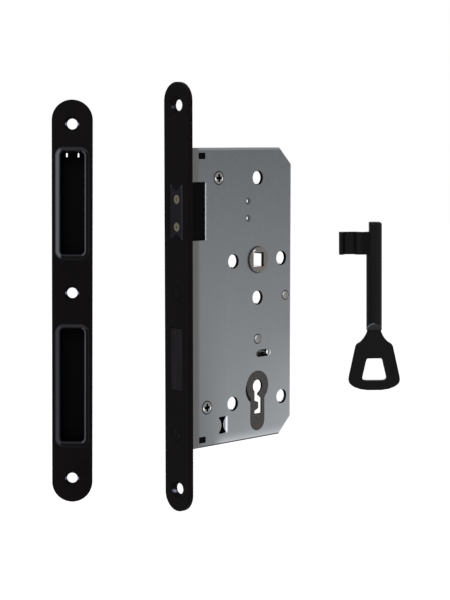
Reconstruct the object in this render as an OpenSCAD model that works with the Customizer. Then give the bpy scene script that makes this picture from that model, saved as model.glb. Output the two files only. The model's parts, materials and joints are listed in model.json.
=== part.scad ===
// Magnetic mortise lock with its strike plate and key.
// Origin: centre of the forend's front face at spindle height.
// +X goes into the door, +Z is up, and the cover faces -Y.

/* [Case] */
// Distance from the forend's front face to the spindle axis (backset)
backset = 55; // [52:0.5:65]
// Distance from the spindle axis down to the key axis
centres = 72; // [70:0.5:80]
// Case height above the spindle axis
case_above = 62.8; // [61:0.1:70]
// Case height below the key axis
case_below = 29.8; // [29.5:0.1:36]
// Case depth behind the spindle axis
case_behind = 27; // [26.5:0.1:34]
// Thickness of the closed case
case_t = 15; // [14.5:0.1:16]
// Thickness of the cover and of the back sheet
sheet = 1; // [0.8:0.05:1.1]
// Thickness of the folded side walls
wall = 1.2; // [0.8:0.1:1.5]
// Cut-off of the two rear corners
corner_cut = 9.5; // [6:0.1:12]
// Width of the sloping strip of the cover beside the forend
strip_w = 6.7; // [5.5:0.1:7.5]
// Depth that the strip falls by towards the forend
strip_fall = 0.5; // [0.2:0.05:0.6]
// Width of the bevel round the cover's edge
edge_w = 1.3; // [0.8:0.1:2]
// Depth of that bevel
edge_drop = 0.5; // [0.3:0.05:0.6]

/* [Forend] */
// Length of the forend
forend_len = 235; // [215:1:250]
// Length of the forend above the spindle axis
forend_above = 98.2; // [92:0.1:104]
// Width of the forend
forend_w = 20; // [18:0.5:24]
// Thickness of the forend
forend_t = 3; // [2.5:0.1:3.5]
// Chamfer of the forend's front edge
forend_chamfer = 0.5; // [0.2:0.1:0.8]
// Distance of the door screw holes from the forend's ends
forend_hole_inset = 12.5; // [11:0.1:16]
// Diameter of the door screw holes
forend_hole_d = 6.2; // [4:0.1:6.4]
// Height of the forend screw below the spindle axis
forend_screw_drop = 16; // [14.5:0.5:18]
// Diameter of the forend screw
forend_screw_d = 4; // [3:0.1:4.4]

/* [Holes in the case] */
// Diameter of the through holes for plate and rosette bolts
hole_d = 8.2; // [6:0.1:9]
// Wall of the sleeves that line them
sleeve_wall = 0.8; // [0.5:0.1:1]
// Gap between the cover and the sleeves
sleeve_gap = 1.2; // [0.5:0.1:2.5]
// Spacing of the two holes beside the spindle
rosette_pitch = 38; // [37:0.5:39.5]
// Spacing of the two holes beside the key
key_hole_pitch = 39; // [38:0.5:41]
// Height of those two holes below the key axis
key_hole_drop = 8; // [7:0.1:10]
// Height of the upper plate hole above the spindle axis
upper_hole_z = 46; // [45.8:0.1:52]
// Height of the lower plate hole below the spindle axis
lower_hole_drop = 21.5; // [18:0.1:22]
// Side of the square windows that the forend lugs catch in
lug_window_w = 5; // [4:0.1:6]
// Height of those windows
lug_window_h = 3.4; // [2.5:0.1:4]
// Distance of the windows from the case's top and bottom
lug_inset = 4.3; // [4:0.1:6]
// Depth of the side window behind the forend
side_window_depth = 12.3; // [8:0.1:14]
// Height of the side window
side_window_h = 31.8; // [31:0.1:32.4]
// Width of the oblong slot over the bolt's stump
stump_slot_w = 11.7; // [9:0.1:13]
// Height of the oblong slot
stump_slot_h = 4.1; // [3.4:0.1:4.6]
// Height of the hourglass slot
hourglass_h = 9.5; // [7:0.1:10]
// Width of the hourglass slot at its ends
hourglass_w = 5.4; // [4:0.1:6]
// Width of the hourglass slot at its neck
hourglass_neck = 1.9; // [1:0.1:2.5]
// Height of its straight ends
hourglass_land = 1; // [0.5:0.1:1.5]
// Diameter of the two pressed dimples
dimple_d = 4; // [3:0.1:4.4]
// Spacing of the dimples
dimple_pitch = 9.6; // [8:0.1:11]

/* [Cover fixings] */
// Diameter of the cover screws' heads
cover_head_d = 7.3; // [6.8:0.1:7.6]
// Diameter of the cover screws' shanks
cover_shank_d = 4; // [3:0.1:4.2]
// Outer diameter of the posts
post_d = 7; // [6.4:0.1:7.4]
// Diameter of the riveted pins
pin_d = 5.6; // [4.8:0.1:6]

/* [Latch] */
// Height of the latch's middle above the spindle axis
latch_z = 28; // [27.4:0.1:28.1]
// Height of the latch face
latch_h = 30; // [28:0.1:30.2]
// Thickness of the latch
latch_t = 9.6; // [8:0.1:9.8]
// Length of the latch
latch_len = 18.5; // [17:0.1:20]
// Depth of the V grooves along its top and bottom
latch_groove = 3.2; // [1.5:0.1:4]
// Distance that the latch comes out
latch_throw = 12; // [9:0.1:12.2]
// Running gap round the latch
latch_gap = 0.25; // [0.2:0.01:0.3]
// Diameter of the latch magnets
magnet_d = 5; // [4:0.1:6]
// Spacing of the latch magnets
magnet_pitch = 15; // [12:0.1:17]
// Length of the latch spring at rest
latch_spring_len = 19; // [18.5:0.1:21]

/* [Follower] */
// Side of the square spindle hole
spindle_hole = 8.1; // [7.1:0.1:8.6]
// Diameter of the follower's journals
journal_d = 14.8; // [13.5:0.1:15.4]
// Height of the journals above the case's faces
journal_rise = 0.8; // [0.2:0.1:1]
// Radial play of the journals in cover and tray
journal_play = 0.08; // [0.05:0.01:0.1]
// Reach of the arm that pushes the latch back
arm_reach = 19; // [18.6:0.1:19.4]
// Angle of the arm ahead of the vertical at rest
arm_lean = 20.5; // [19:0.5:22]
// Angle that the handle turns the follower through
follower_turn = 40; // [36:1:41]
// Thickness of the arm
arm_t = 5; // [4:0.1:6]

/* [Deadbolt] */
// Height of the bolt's top above the key axis
bolt_top_rise = 36.8; // [36.4:0.1:37.2]
// Height of the bolt head
bolt_h = 34.2; // [33:0.1:35]
// Thickness of the bolt head
bolt_t = 9.2; // [8:0.1:9.6]
// Length of the bolt head
bolt_len = 30; // [27:0.1:32]
// Distance that one turn of the key throws the bolt
bolt_throw = 14; // [12:0.1:14.4]
// Running gap round the bolt
bolt_gap = 0.25; // [0.2:0.01:0.3]
// Thickness of the bolt's tail
tail_t = 3; // [2.5:0.1:3.2]
// Diameter of the stump in the bolt's tail
stump_d = 3.4; // [3:0.1:3.6]

/* [Tumbler] */
// Thickness of the tumbler plate
tumbler_t = 1.6; // [1.2:0.1:1.8]
// Angle that the key lifts the tumbler through
tumbler_lift = 8; // [7.6:0.1:8.4]
// Depth of the tumbler's nose in the bolt's notch
nose_depth = 0.85; // [0.6:0.05:0.9]

/* [Keyhole insert] */
// Diameter of the round part of the profile
profile_d = 17; // [16:0.1:17.4]
// Width of the profile's leg
profile_leg_w = 10.8; // [10:0.1:11.6]
// Reach of the profile below the key axis
profile_reach = 25.2; // [24.4:0.1:25.6]
// Distance of the insert screw below the key axis
insert_screw_drop = 21.2; // [21:0.1:21.6]
// Diameter of the insert screw
insert_screw_d = 4.8; // [4:0.1:5]
// Play of the key in the keyhole
key_play = 0.2; // [0.15:0.01:0.3]

/* [Key] */
// Length of the key
key_len = 76; // [70:0.5:85]
// Diameter of the key's shaft
shaft_d = 7; // [6.2:0.1:7.1]
// Reach of the bit from the shaft's axis
bit_reach = 15.6; // [15.2:0.05:15.7]
// Width of the bit along the shaft
bit_w = 10.1; // [9:0.1:10.2]
// Distance of the bit from the shaft's tip
bit_inset = 4.4; // [3:0.1:6]
// Thickness of the bit's web
bit_web = 2.1; // [1.6:0.1:2.3]
// Width of the bow at its widest
bow_w = 23.2; // [20:0.1:26]
// Thickness of the bow
bow_t = 3; // [2.4:0.1:3.6]

/* [Strike plate] */
// Length of the strike plate
strike_len = 235; // [230:1:250]
// Width of the strike plate
strike_w = 23.5; // [22.5:0.1:26]
// Thickness of the strike plate
strike_t = 3; // [2.5:0.1:3.5]
// Radius of the rolled lip round the recesses
lip_r = 2.85; // [2:0.05:3]
// Width of the recess openings
recess_w = 14; // [13:0.1:15]
// Height of the latch recess opening
latch_recess_h = 59.2; // [54:0.1:60]
// Distance of that opening from the plate's top
latch_recess_drop = 30; // [28:0.1:33]
// Height of the bolt recess opening
bolt_recess_h = 66.7; // [60:0.1:68]
// Distance of that opening from the plate's top
bolt_recess_drop = 132.7; // [131:0.1:134]
// Diameter of the screw holes
strike_hole_d = 6.2; // [4:0.1:6.6]
// Distance of the middle screw hole from the plate's top
strike_mid_drop = 111.6; // [108:0.1:114]
// Distance of the end screw holes from the plate's ends
strike_hole_inset = 14; // [12:0.1:16]
// Depth of the boxes behind the plate
box_depth = 14; // [12.5:0.1:18]
// Wall of the boxes
box_wall = 1.2; // [0.8:0.1:1.6]

/* [Layout of the set] */
// Angle that the strike plate and the key are turned by
set_turn = 43.8; // [0:0.1:90]
// Strike plate's place along X
strike_x = -4.4; // [-60:0.1:10]
// Strike plate's place along Y
strike_y = 84; // [60:0.1:140]
// Height of the strike plate's top end
strike_top_z = 90.1; // [60:0.1:140]
// Key's place along X
key_x = -35.1; // [-80:0.1:-20]
// Key's place along Y
key_y = -172.4; // [-220:0.1:-120]
// Height of the key's bow end
key_z = -45.2; // [-90:0.1:20]
// Angle that the strike plate leans by, about its top end
strike_lean = 0.55; // [-2:0.05:2]
// Angle that the key leans by, about its bow end
key_lean = -0.55; // [-2:0.05:2]

/* [Hidden] */
$fn = 48;

through = 1;
seat_gap = 0.3;
seat_t = 1.5;
play = 0.2;
boss_w = 7;
boss_len = 6;
lug_t = 1.8;
lug_half_h = 2.6;
lug_sink = 0.4;
slip = 0.05;
screw_gap = 0.08;
countersink = 2;
door_sink_w = 2;
door_sink_t = 1.8;
strike_sink = 1.6;

// Case faces and axes
half_t = case_t / 2;
inner = half_t - sheet;
axis_z = -centres;
case_top = case_above;
case_bottom = axis_z - case_below;
hole_r = hole_d / 2;
sleeve_r = hole_r + sleeve_wall;
spigot_r = hole_r + sleeve_wall / 2;
holes_behind = max(rosette_pitch, key_hole_pitch) / 2 + sleeve_r + wall + seat_gap;
case_rear = backset + max(case_behind, holes_behind);
front_x = forend_t;
strip_x = front_x + strip_w;
through_holes = [
    [backset, upper_hole_z],
    [backset - rosette_pitch / 2, 0],
    [backset + rosette_pitch / 2, 0],
    [backset, -lower_hole_drop],
    [backset - key_hole_pitch / 2, axis_z - key_hole_drop],
    [backset + key_hole_pitch / 2, axis_z - key_hole_drop]];

// Latch and its housing
magnet_drop = 0.4;
dimple_ahead = 7.6;
dimple_rise = 0.3;
dimple_depth = 0.8;
dimple_floor = 0.4;
dimple_skin = 0.2;
latch_bottom = latch_z - latch_h / 2;
latch_top = latch_z + latch_h / 2;
housing_wall = 2;
housing_back = 1.5;
housing_y = inner - 0.2;
housing_x1 = latch_len + 1 + housing_back;
housing_z0 = latch_bottom - housing_wall;
housing_z1 = latch_top + housing_wall;
magnet_z = latch_z - magnet_drop;
magnet_len = 8;
magnet_sink = 0.3;
dimples_at = [for (s = [-1, 1])
    [backset - dimple_ahead, latch_z + dimple_rise + s * dimple_pitch / 2]];

// Follower
journal_r = journal_d / 2;
collar_step = 1.4;
collar_r = journal_r + collar_step;
tip_r = 2.4;
arm_gap = 0.35;
arm_end = follower_turn - arm_lean;
spring_lug_x0 = 6;
spring_lug_x1 = 13.2;
spring_lug_h = 5;
follower_spring_arm = 11.3;
follower_spring_x = backset + follower_spring_arm;
follower_spring_len = 13;

// Latch tail
tail_clear = 0.5;
latch_tail_z = arm_reach + tip_r + tail_clear;
latch_tail_h = 8;
latch_tail_t = 2;
latch_tail_grip = 6;
lug_x = backset + arm_reach * sin(arm_end) + tip_r + arm_gap;
lug_w = 3;
lug_drop = 6.4;
tab_x = housing_x1 + latch_spring_len;
tab_w = 1.5;
latch_spring_rise = 9.5;
latch_spring_z = latch_z + latch_spring_rise;
latch_spring_r = 2.2;
spring_plate_w = 6;

// Cover fixings
post_r = post_d / 2;
upper_screw_rise = 3.35;
lower_screw_in = 12.7;
lower_screw_drop = 7.8;
cover_screws_at = [
    [housing_x1 + post_r + seat_gap, latch_top + upper_screw_rise],
    [front_x + lower_screw_in, axis_z - lower_screw_drop]];
forend_screw_r = forend_screw_d / 2;
head_rise = 0.35;
head_gap = 0.25;
cover_cross = 4.4;
cover_cross_depth = 1.6;
forend_cross = 4;
forend_cross_depth = 1.2;
forend_screw_len = 6.5;
insert_cross = 4.6;
insert_cross_depth = 1.4;
pin_r = pin_d / 2;
shoulder_w = 0.7;
shoulder_len = 3;
pin_rise = 0.2;
pin_round = 0.35;
rivet_inset = 4.7;
guide_rise = 27;
rivet_at = [case_rear - rivet_inset, -lower_hole_drop];
guide_at = [backset, axis_z + guide_rise];

// Deadbolt
bolt_top = axis_z + bolt_top_rise;
bolt_bottom = bolt_top - bolt_h;
bolt_tail_grip = 10;
bolt_tail_rise = 33;
bolt_tail_top = axis_z + bolt_tail_rise;
talon_cover = 0.6;
talon_clear = 0.5;
talon_angle = asin(bolt_throw / 2 / bit_reach);
bolt_tail_bottom = axis_z + bit_reach * cos(talon_angle) - talon_cover;
talon_top = axis_z + bit_reach + talon_clear;
talon_w = 7;
guide_play = 0.15;
guide_slot_r = pin_r + guide_play;
guide_room = 0.7;
stump_ahead = 10.3;
stump_rise = 18.6;
slot_ahead = 10.7;
stump_at = [backset + stump_ahead, axis_z + stump_rise];
stump_slot_x1 = backset + slot_ahead;
tail_end_gap = 2.3;
bolt_tail_x0 = bolt_len - bolt_tail_grip;
bolt_tail_x1 = case_rear - wall - tail_end_gap;
rivet_r = 1.5;
rivet_edge = 4.5;
bolt_rivets_z = [bolt_tail_top - rivet_edge, bolt_tail_bottom + rivet_edge];

// Tumbler
pivot_ahead = 19;
pivot_rise = 29;
pivot_at = [backset + pivot_ahead, axis_z + pivot_rise];
pivot_r = 2;
pivot_shoulder = 1.2;
eye_r = 4;
plate_gap = 0.3;
tumbler_y = tail_t / 2 + plate_gap;
nose_back = 1;
nose_x = backset - nose_back;
nose_half = 4;
nose_play = 0.1;
nose_rise = 2.6;
nose_top = bolt_tail_top + nose_rise;
crown_back = 6;
belly_r = 7.4;
belly_rise = 6.1;
belly_z = axis_z + bit_reach + belly_rise;
tumbler_spring_ahead = 11;
tumbler_spring_x = backset + tumbler_spring_ahead;
tumbler_spring_len = 8.8;

// Insert
profile_r = profile_d / 2;
profile_gap = 0.2;
bit_room = bit_reach + talon_clear;
bit_gap_y = bit_w / 2 + key_play;
collar_w = 2.6;
collar_y = -inner + 0.15;
crescent_x = 0.9;
crescent_drop = 1.6;
hourglass_ahead = 27.4;
hourglass_drop = 19;
proud = 0.1;
insert_y = half_t + proud;
insert_screw_z = axis_z - insert_screw_drop;
keyhole_r = shaft_d / 2 + key_play;

// Strike's boxes, clips and magnet
box_play = 0.2;
clips_x = [-3.75, 2.95];
clip_w = 0.9;
clip_t = 0.5;
clip_len = 2.2;
clip_drop = 0.8;
clip_inset = 0.6;
magnet_bar_w = 8;
magnet_bar_h = 40;
magnet_bar_t = 3;

// Section of the warded bit: its sides, and the depths of its wards below the shaft's axis
bit_left = -2.2;
bit_right = 2.9;
ward_root = 4.9;
ward_right = 7.4;
ward_left = 7.9;
ward_mid = 9.1;
ward_out = 12.9;
ward_foot = 14.3;

// Half the bow's outline and half its window: share of the bow's half width, height above its end
bow_len = 28.2;
bow_shape = [[0.26, bow_len], [0.275, 26.4], [0.33, 25], [0.4, 23.7], [0.52, 22.1], [0.68, 20.9],
             [0.725, 20], [0.985, 6.2], [1, 4.6], [0.97, 3.3], [0.9, 2.4], [0.77, 1.4], [0.56, 0.5],
             [0.28, 0]];
window_shape = [[0.25, 14.5], [0.3, 14.1], [0.325, 13.2], [0.47, 5.9], [0.46, 5.1], [0.415, 4.6],
                [0.3, 4.4]];

// Turns a profile drawn in X and Z into a plate from y0 to y1
module plate_y(y0, y1) {
    translate([0, y1, 0]) rotate([90, 0, 0]) linear_extrude(y1 - y0) children();
}

// Carries a profile drawn in Y and Z along X from x0 to x1
module bar_x(x0, x1) {
    translate([x0, 0, 0]) rotate([90, 0, 90]) linear_extrude(x1 - x0) children();
}

module pin_y(at, r, y0, y1) {
    translate([at[0], y1, at[1]]) rotate([90, 0, 0]) cylinder(h = y1 - y0, r = r);
}

module pin_x(y, z, r, x0, x1) {
    translate([x0, y, z]) rotate([0, 90, 0]) cylinder(h = x1 - x0, r = r);
}

// Cone along X, from radius r0 at x0 to r1 at x1
module cone_x(y, z, r0, r1, x0, x1) {
    translate([x0, y, z]) rotate([0, 90, 0]) cylinder(h = x1 - x0, r1 = r0, r2 = r1);
}

// Cone along Y, from radius r0 at y0 to r1 at y1
module cone_y(at, r0, r1, y0, y1) {
    translate([at[0], y0, at[1]]) rotate([-90, 0, 0]) cylinder(h = y1 - y0, r1 = r0, r2 = r1);
}

module block(x, y, z) {
    translate([x[0], y[0], z[0]]) cube([x[1] - x[0], y[1] - y[0], z[1] - z[0]]);
}

// Round-ended strip, w wide, between the heights z0 and z1
module stadium(w, z0, z1) {
    translate([-w / 2, z0 + w / 2]) square([w, z1 - z0 - w]);
    translate([0, z0 + w / 2]) circle(d = w);
    translate([0, z1 - w / 2]) circle(d = w);
}

// Round-ended slot, h high, between x0 and x1
module slot_x(h, x0, x1, z) {
    translate([x0 + h / 2, z - h / 2]) square([x1 - x0 - h, h]);
    translate([x0 + h / 2, z]) circle(d = h);
    translate([x1 - h / 2, z]) circle(d = h);
}

// Coil of wire about the Z axis from the origin upwards: a six-sided tube on a helix
module coil(r, wire_r, len, turns) {
    sides = 6;
    steps = turns * 8;
    function ring(i) = let(t = i / steps, a = 360 * turns * t, z = wire_r + (len - 2 * wire_r) * t)
        [for (k = [0 : sides - 1])
            let(b = 360 * k / sides, q = r + wire_r * cos(b))
            [q * cos(a), q * sin(a), z + wire_r * sin(b)]];
    function middle(i) = let(a = 360 * turns * i / steps)
        [r * cos(a), r * sin(a), wire_r + (len - 2 * wire_r) * i / steps];
    points = [for (i = [0 : steps]) each ring(i)];
    walls = [for (i = [0 : steps - 1], k = [0 : sides - 1])
        let(a = i * sides + k, b = i * sides + (k + 1) % sides) each
        [[a, a + sides, b], [b, a + sides, b + sides]]];
    first = [for (k = [0 : sides - 1]) k];
    last = [for (k = [sides - 1 : -1 : 0]) steps * sides + k];
    echo(least_gap = min([for (i = [0 : steps - 8]) norm(middle(i + 8) - middle(i))]) - 2 * wire_r);
    polyhedron(points = points, faces = concat(walls, [first, last]));
}

// Corners of the case, moved in by i
function case_corners(i) = let(k = i * tan(22.5)) [
    [front_x + i, case_bottom + i],
    [case_rear - corner_cut - k, case_bottom + i],
    [case_rear - i, case_bottom + corner_cut + k],
    [case_rear - i, case_top - corner_cut - k],
    [case_rear - corner_cut - k, case_top - i],
    [front_x + i, case_top - i]];

module case_outline(i) {
    polygon(case_corners(i));
}

// Wedge that bevels the cover along its edge from p to q
module edge_bevel(p, q) {
    slope = edge_drop / edge_w;
    translate([p[0], -half_t, p[1]]) rotate([0, -atan2(q[1] - p[1], q[0] - p[0]), 0])
        bar_x(-through, norm(q - p) + through)
            polygon([[edge_drop + slope * through, -through], [-edge_drop, 2 * edge_w],
                     [-through, 2 * edge_w], [-through, -through]]);
}

// Screw with a countersunk head along +X, or its hole when it is grown by gap
module screw_x(z, r, x0, x1, gap) {
    cone_x(0, z, r + countersink - x0 + gap, r + gap, x0, countersink);
    pin_x(0, z, r + gap, countersink - slip, x1);
}

// Face of the latch with a V groove above and below, grown by gap
module latch_outline(gap) {
    w = latch_t / 2 + gap;
    z0 = latch_bottom - gap;
    z1 = latch_top + gap;
    polygon([[-w, z0], [0, z0 + latch_groove], [w, z0],
             [w, z1], [0, z1 - latch_groove], [-w, z1]]);
}

// Section of a profile cylinder about the key axis, grown by gap
module profile_outline(gap) {
    r = profile_leg_w / 2 + gap;
    translate([backset, axis_z]) circle(r = profile_r + gap);
    translate([backset - r, axis_z - profile_reach + profile_leg_w / 2])
        square([2 * r, profile_reach - profile_leg_w / 2]);
    translate([backset, axis_z - profile_reach + profile_leg_w / 2]) circle(r = r);
}

// Warded section of the bit, from the shaft's axis along -Y, grown by gap
module bit_section(gap) {
    l = bit_left - gap;
    r = bit_right + gap;
    web_l = bit_left + bit_web + gap;
    web_r = bit_right - bit_web - gap;
    fillet = shaft_d / 3;
    polygon([[l, 0], [fillet, 0], [fillet, -fillet], [web_l, -ward_root], [r, -ward_right + gap],
             [r, -bit_reach - gap], [l, -bit_reach - gap], [l, -ward_foot + gap],
             [web_r, -ward_out + gap], [web_r, -ward_mid - gap], [l, -ward_left - gap]]);
}

module keyhole_outline() {
    translate([backset, axis_z]) {
        circle(r = keyhole_r);
        bit_section(key_play);
    }
}

module lug_windows(gap) {
    for (z = [case_top - lug_inset, case_bottom + lug_inset])
        translate([strip_x + gap, z - lug_window_h / 2 + gap])
            square([lug_window_w - 2 * gap, lug_window_h - 2 * gap]);
}

// Two crossed slots of a cross-recess screw, sunk along +Y from y0
module cross_y(at, y0, size, depth) {
    for (a = [0, 90])
        translate([at[0], y0, at[1]]) rotate([0, a, 0])
            block([-size / 2, size / 2], [0, depth], [-size / 6, size / 6]);
}

// The same, sunk along +X from the forend's face
module cross_x(z, size, depth) {
    for (a = [45, 135])
        translate([0, 0, z]) rotate([a, 0, 0])
            block([0, depth], [-size / 2, size / 2], [-size / 10, size / 10]);
}

// Ledge on the back sheet whose upper face is at z
module spring_seat(x, z, half_w, y0) {
    block([x - half_w, x + half_w], [y0, inner + sheet / 2], [z - seat_t, z]);
}

// Window through the case's front wall, half_w to either side of its middle
module front_window(y0, y1, z0, z1) {
    block([front_x - through, front_x + wall + play], [y0, y1], [z0, z1]);
}

module case_tray() {
    color("silver")
    difference() {
        union() {
            plate_y(inner, half_t) case_outline(0);
            plate_y(-inner, inner) difference() {
                case_outline(0);
                case_outline(wall);
            }
            spring_seat(follower_spring_x, -spring_lug_h / 2 - follower_spring_len, 3, -3);
            spring_seat(tumbler_spring_x, nose_top + tumbler_spring_len + seat_t, 3.5, 0);
            block([front_x + wall / 2, front_x + boss_len], [-boss_w / 2, boss_w / 2],
                  [-forend_screw_drop - boss_w / 2, -forend_screw_drop + boss_w / 2]);
        }
        for (h = through_holes)
            pin_y(h, spigot_r + slip, inner - through, half_t + through);
        pin_y([backset, 0], journal_r + journal_play, inner - through, half_t + through);
        plate_y(inner - through, half_t + through) profile_outline(profile_gap);
        front_window(-inner - through, inner - slip, housing_z0 - play, housing_z1 + play);
        front_window(-bolt_t / 2 - bolt_gap, bolt_t / 2 + bolt_gap,
                     bolt_bottom - bolt_gap, bolt_top + bolt_gap);
        for (z = [case_top - lug_inset, case_bottom + lug_inset])
            front_window(-inner - through, -inner + lug_t + 2 * play, z - lug_half_h - 2 * play,
                         z + lug_half_h + 2 * play);
        pin_x(0, insert_screw_z, insert_screw_d / 2 + play, front_x - through, front_x + wall + through);
        pin_x(0, -forend_screw_drop, forend_screw_r + screw_gap,
              front_x - through, front_x + boss_len + through);
    }
}

module cover_plate() {
    corners = case_corners(0);
    dimple_r = dimple_d / 2;
    head_r = cover_head_d / 2 + head_gap;
    color("silver")
    difference() {
        union() {
            plate_y(-half_t, -inner) case_outline(0);
            for (p = dimples_at)
                cone_y(p, dimple_r - dimple_skin, dimple_r * dimple_floor,
                       -inner - slip, -half_t + dimple_depth + sheet / 2);
        }
        translate([0, 0, case_bottom - through])
            linear_extrude(case_top - case_bottom + 2 * through)
                polygon([[strip_x, -half_t], [front_x, -half_t + strip_fall],
                         [front_x - through, -half_t + strip_fall], [front_x - through, -half_t - through],
                         [strip_x, -half_t - through]]);
        for (k = [0 : len(corners) - 2])
            edge_bevel(corners[k], corners[k + 1]);
        plate_y(-half_t - through, -inner + through) {
            translate([front_x - through, latch_bottom - 2 * play])
                square([side_window_depth + through, side_window_h]);
            lug_windows(0);
            profile_outline(profile_gap);
            slot_x(stump_slot_h, stump_slot_x1 - stump_slot_w, stump_slot_x1, stump_at[1]);
            hourglass();
        }
        pin_y([backset - crescent_x, axis_z - crescent_drop], profile_r, -half_t - through, -inner + through);
        for (h = through_holes)
            pin_y(h, hole_r, -half_t - through, -inner + through);
        pin_y([backset, 0], journal_r + journal_play, -half_t - through, -inner + through);
        for (p = [rivet_at, guide_at])
            pin_y(p, pin_r + slip, -half_t - through, -inner + through);
        for (s = cover_screws_at)
            cone_y(s, head_r, head_r - sheet, -half_t, -inner);
        for (s = cover_screws_at)
            pin_y(s, cover_shank_d / 2 + head_gap, -half_t, -inner + through);
        for (p = dimples_at)
            cone_y(p, dimple_r, dimple_r * dimple_floor, -half_t, -half_t + dimple_depth);
    }
}

// Slot of hourglass shape beside the insert screw: a rectangle with a round bite on either side
module hourglass() {
    bite = (hourglass_w - hourglass_neck) / 2;
    half_chord = hourglass_h / 2 - hourglass_land;
    bite_r = (pow(half_chord, 2) + pow(bite, 2)) / (2 * bite);
    translate([backset - hourglass_ahead, axis_z - hourglass_drop])
        difference() {
            square([hourglass_w, hourglass_h], center = true);
            for (side = [-1, 1])
                translate([side * (hourglass_neck / 2 + bite_r), 0]) circle(r = bite_r);
        }
}

module cover_posts() {
    color("gainsboro")
    for (s = cover_screws_at)
        difference() {
            pin_y(s, post_r, -inner + 1, inner);
            pin_y(s, cover_shank_d / 2 + slip, -inner, inner - 2);
        }
}

// Countersunk screws with a domed head, turned about their own axis
module cover_screws() {
    head_r = cover_head_d / 2;
    shank_r = cover_shank_d / 2;
    shank_len = half_t + 1.5;
    dome = [for (k = [0 : 5]) [head_r * k / 5, -head_rise * (1 - pow(k / 5, 2))]];
    color("whitesmoke")
    for (s = cover_screws_at)
        difference() {
            translate([s[0], -half_t, s[1]]) rotate([-90, 0, 0]) rotate_extrude()
                polygon(concat(dome, [[head_r - sheet, sheet], [shank_r, sheet], [shank_r, shank_len],
                                      [0, shank_len]]));
            cross_y(s, -half_t - head_rise - slip, cover_cross, cover_cross_depth);
        }
}

// Riveted pin with a shoulder between the sheets and a rounded end
module riveted_pin(at, shoulder_r) {
    pin_y(at, pin_r, -half_t + pin_rise, inner);
    cone_y(at, pin_r - pin_round, pin_r, -half_t - pin_rise / 2, -half_t + pin_rise);
    cone_y(at, pin_r / 2, pin_r - pin_round, -half_t - pin_rise, -half_t - pin_rise / 2);
    pin_y(at, shoulder_r, inner - shoulder_len, inner);
}

module spacer_rivet() {
    color("silver") riveted_pin(rivet_at, pin_r + shoulder_w);
}

module bolt_guide_pin() {
    color("silver") riveted_pin(guide_at, pin_r + shoulder_w);
}

// Sleeves that stand on the back sheet, with a spigot through it
module through_sleeves() {
    color("white")
    for (h = through_holes)
        difference() {
            union() {
                pin_y(h, sleeve_r, -inner + sleeve_gap, inner);
                pin_y(h, spigot_r, inner - through, half_t);
            }
            pin_y(h, hole_r, -inner, half_t + through);
        }
}

// Round-ended plate along X with a chamfered front edge; its middle is at y = 0
module faced_plate(w, z0, z1, t, c) {
    linear_profile = [[0, -w / 2 + c], [c, -w / 2], [t, -w / 2], [t, w / 2], [c, w / 2], [0, w / 2 - c]];
    translate([0, 0, z0 + w / 2]) linear_extrude(z1 - z0 - w) polygon(linear_profile);
    for (z = [z0 + w / 2, z1 - w / 2])
        translate([0, 0, z]) rotate([0, 90, 0])
            rotate_extrude() polygon([[0, 0], [w / 2 - c, 0], [w / 2, c], [w / 2, t], [0, t]]);
}

module forend_plate() {
    bottom = forend_above - forend_len;
    color("#1b191b")
    difference() {
        faced_plate(forend_w, bottom, forend_above, forend_t, forend_chamfer);
        bar_x(-through, forend_t + through) latch_outline(latch_gap);
        block([-through, forend_t + through], [-bolt_t / 2 - bolt_gap, bolt_t / 2 + bolt_gap],
              [bolt_bottom - bolt_gap, bolt_top + bolt_gap]);
        for (z = [forend_above - forend_hole_inset, bottom + forend_hole_inset]) {
            pin_x(0, z, forend_hole_d / 2, -through, forend_t + through);
            cone_x(0, z, forend_hole_d / 2 + door_sink_w, forend_hole_d / 2, 0, door_sink_t);
        }
        screw_x(-forend_screw_drop, forend_screw_r, 0, forend_t + through, screw_gap);
        screw_x(insert_screw_z, insert_screw_d / 2, 0, forend_t + through, screw_gap);
    }
}

// Lugs of the forend behind the cover, each with a pad that fills its window
module forend_lugs() {
    color("#151415")
    for (z = [case_top - lug_inset, case_bottom + lug_inset])
        block([front_x, strip_x + lug_window_w + 1], [-inner + slip, -inner + slip + lug_t],
              [z - lug_half_h, z + lug_half_h]);
    color("#151415")
    plate_y(-half_t + lug_sink, -inner + play) lug_windows(play);
}

module forend_screw() {
    color("#1b191b")
    difference() {
        screw_x(-forend_screw_drop, forend_screw_r, 0.1, front_x + forend_screw_len, 0);
        cross_x(-forend_screw_drop, forend_cross, forend_cross_depth);
    }
}

module insert_screw() {
    color("#1b191b")
    difference() {
        screw_x(insert_screw_z, insert_screw_d / 2, 0.1, backset + profile_leg_w / 2 - 1, 0);
        cross_x(insert_screw_z, insert_cross, insert_cross_depth);
    }
}

module latch_housing() {
    color("#141414")
    difference() {
        bar_x(front_x, housing_x1)
            translate([-housing_y, housing_z0]) square([2 * housing_y, housing_z1 - housing_z0]);
        bar_x(front_x - through, housing_x1 - housing_back) latch_outline(latch_gap);
        block([front_x, housing_x1 + through], [-latch_tail_t / 2 - 0.3, latch_tail_t / 2 + 0.3],
              [latch_tail_z - 0.3, latch_tail_z + latch_tail_h + 0.3]);
    }
}

// Die-cast insert with a collar behind the cover; its back keyhole is turned round, for the same key
module keyhole_insert() {
    color("#4a453f")
    difference() {
        union() {
            plate_y(-insert_y, insert_y) profile_outline(0);
            pin_y([backset, axis_z], profile_r + collar_w, collar_y, -bit_gap_y - slip);
        }
        plate_y(-insert_y - through, 0) keyhole_outline();
        plate_y(0, insert_y + through) translate([2 * backset, 0]) mirror([1, 0]) keyhole_outline();
        pin_y([backset, axis_z], bit_room, -bit_gap_y, bit_gap_y);
        pin_x(0, insert_screw_z, insert_screw_d / 2 + slip, backset - profile_d, backset + profile_d);
    }
}

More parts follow.
